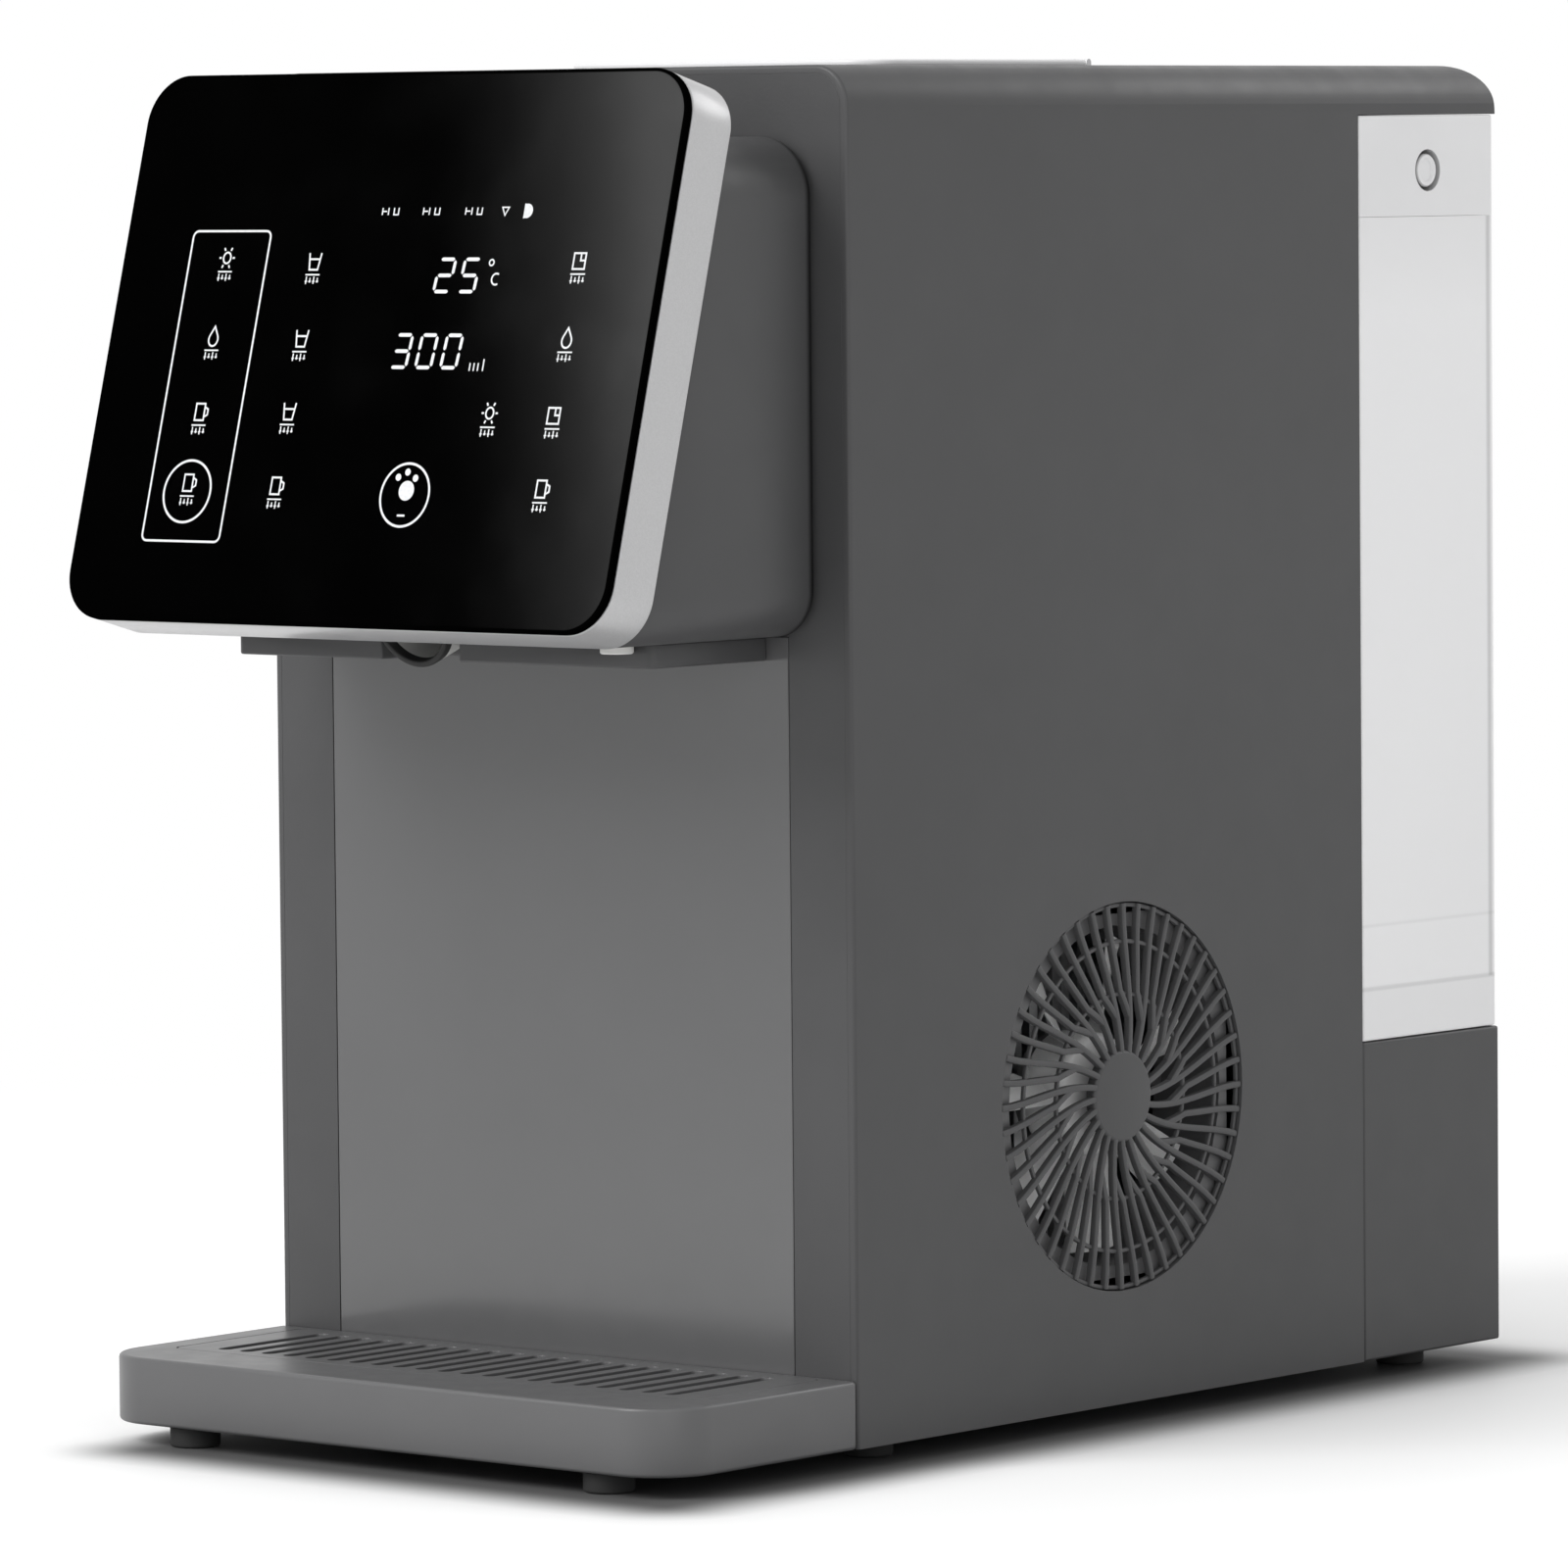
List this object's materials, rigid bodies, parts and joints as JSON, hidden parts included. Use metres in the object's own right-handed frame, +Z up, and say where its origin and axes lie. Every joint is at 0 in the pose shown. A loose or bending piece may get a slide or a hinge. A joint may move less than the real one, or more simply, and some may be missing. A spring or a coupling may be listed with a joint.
{
  "type": "countertop ice maker",
  "caption": "Countertop ice maker with a slanted touch panel over a cup bay, a drip tray, a pull-out water tank, a fan grille in its side and a lid in its top",
  "frame": {"origin": "centre of the bounding box's underside, on the surface that the machine stands on", "axes": "+X to the machine's right as seen from the front, +Y towards its back, +Z up; the front with the panel looks along -Y"},
  "size_m": [0.232, 0.4292, 0.4192],
  "materials": {
    "cabinet": "dark grey satin plastic, fine grain",
    "gloss_panel": "glossy dark grey plastic",
    "silver": "silver painted plastic, satin",
    "black_glass": "black printed glass, polished",
    "display": "black plastic",
    "circuit_board": "green solder mask",
    "tray_grey": "mid grey satin plastic",
    "rubber": "black rubber",
    "black_plastic": "black plastic",
    "white_plastic": "white plastic",
    "tank": "milky translucent plastic",
    "light_plastic": "light grey plastic",
    "galvanised": "galvanised sheet",
    "zinc_steel": "zinc plated steel",
    "stainless": "stainless steel",
    "black_enamel": "black enamel",
    "aluminium": "plain aluminium fins",
    "copper": "bare copper",
    "silicone": "translucent silicone"
  },
  "bodies": {
    "cabinet": {"housing_shell": "cabinet", "front_fascia": "cabinet", "head_housing": "cabinet", "outlet_block": "cabinet", "fan_grille": "cabinet", "rear_base_cover": "cabinet", "tank_dock": "cabinet", "backsplash": "gloss_panel", "panel_frame": "silver", "touch_glass": "black_glass", "display_module": "display", "control_board": "circuit_board", "power_board": "circuit_board", "drain_plug": "rubber", "foot_front_left": "rubber", "foot_front_right": "rubber", "foot_rear_left": "rubber", "foot_rear_right": "rubber", "ice_chute": "rubber", "fan_shroud": "black_plastic", "water_pump": "black_plastic", "power_inlet": "black_plastic", "tray_motor": "white_plastic", "ice_bin": "white_plastic", "auger_motor": "white_plastic", "water_nozzle": "white_plastic", "lid_hinge_pin": "light_plastic", "base_pan": "galvanised", "fan_motor": "zinc_steel", "module_bracket": "zinc_steel", "equipment_deck": "zinc_steel", "gate_solenoid": "zinc_steel", "water_heater": "stainless", "compressor": "black_enamel", "condenser": "aluminium", "evaporator": "copper", "discharge_line": "copper", "suction_line": "copper", "drier": "copper", "inlet_hose": "silicone", "heater_hose": "silicone", "nozzle_hose": "silicone"},
    "top_lid": {"top_lid": "light_plastic"},
    "tank": {"tank_body": "tank", "tank_lid": "light_plastic"},
    "tank_handle": {"tank_handle": "light_plastic"},
    "tank_float": {"tank_float": "white_plastic"},
    "tank_valve": {"valve_poppet": "black_plastic"},
    "drip_tray": {"drip_tray": "tray_grey", "tray_foot_left": "rubber", "tray_foot_right": "rubber"},
    "drip_grille": {"drip_grille": "tray_grey"},
    "fan_rotor": {"fan_rotor": "black_plastic"},
    "auger": {"auger": "stainless"},
    "ice_gate": {"ice_gate": "black_plastic"},
    "solenoid_plunger": {"solenoid_plunger": "stainless"},
    "water_tray": {"water_tray": "white_plastic"}
  },
  "joints": [
    {"name": "lid_hinge", "type": "hinge", "parent": "cabinet", "child": "top_lid", "pos_m": [0, 0.07909, 0.418], "axis": [-1, 0, 0], "range_deg": [0, 95]},
    {"name": "tank_slide", "type": "slide", "parent": "cabinet", "child": "tank", "axis": [0, 1, 0], "range_m": [0, 0.09]},
    {"name": "handle_pivot", "type": "hinge", "parent": "tank", "child": "tank_handle", "pos_m": [0, 0.17799, 0.3833], "axis": [1, 0, 0], "range_deg": [0, 36]},
    {"name": "float_slide", "type": "slide", "parent": "tank", "child": "tank_float", "axis": [0, 0, 1], "range_m": [0, 0.03]},
    {"name": "valve_slide", "type": "slide", "parent": "tank", "child": "tank_valve", "axis": [0, 1, 0], "range_m": [0, 0.003], "stiffness_N_per_m": 200},
    {"name": "drip_tray_slide", "type": "slide", "parent": "cabinet", "child": "drip_tray", "axis": [0, -1, 0], "range_m": [0, 0.08]},
    {"name": "drip_grille_lift", "type": "slide", "parent": "drip_tray", "child": "drip_grille", "axis": [0, 0, 1], "range_m": [0, 0.03]},
    {"name": "fan_spin", "type": "hinge", "parent": "cabinet", "child": "fan_rotor", "pos_m": [0.099, 0.01809, 0.1012], "axis": [1, 0, 0], "continuous": true},
    {"name": "auger_spin", "type": "hinge", "parent": "cabinet", "child": "auger", "pos_m": [-0.0083, -0.00141, 0.2825], "axis": [0, 1, 0], "continuous": true},
    {"name": "gate_hinge", "type": "hinge", "parent": "cabinet", "child": "ice_gate", "pos_m": [-0.0083, -0.09991, 0.301], "axis": [-1, 0, 0], "range_deg": [0, 45]},
    {"name": "plunger_slide", "type": "slide", "parent": "cabinet", "child": "solenoid_plunger", "axis": [0, 0, 1], "range_m": [0, 0.004]},
    {"name": "water_tray_tilt", "type": "hinge", "parent": "cabinet", "child": "water_tray", "pos_m": [0, 0.11459, 0.3625], "axis": [1, 0, 0], "range_deg": [0, 55]}
  ],
  "couplings": [
    {"joint": "gate_hinge", "follows": "plunger_slide", "rad_per_m": 196.34}
  ]
}
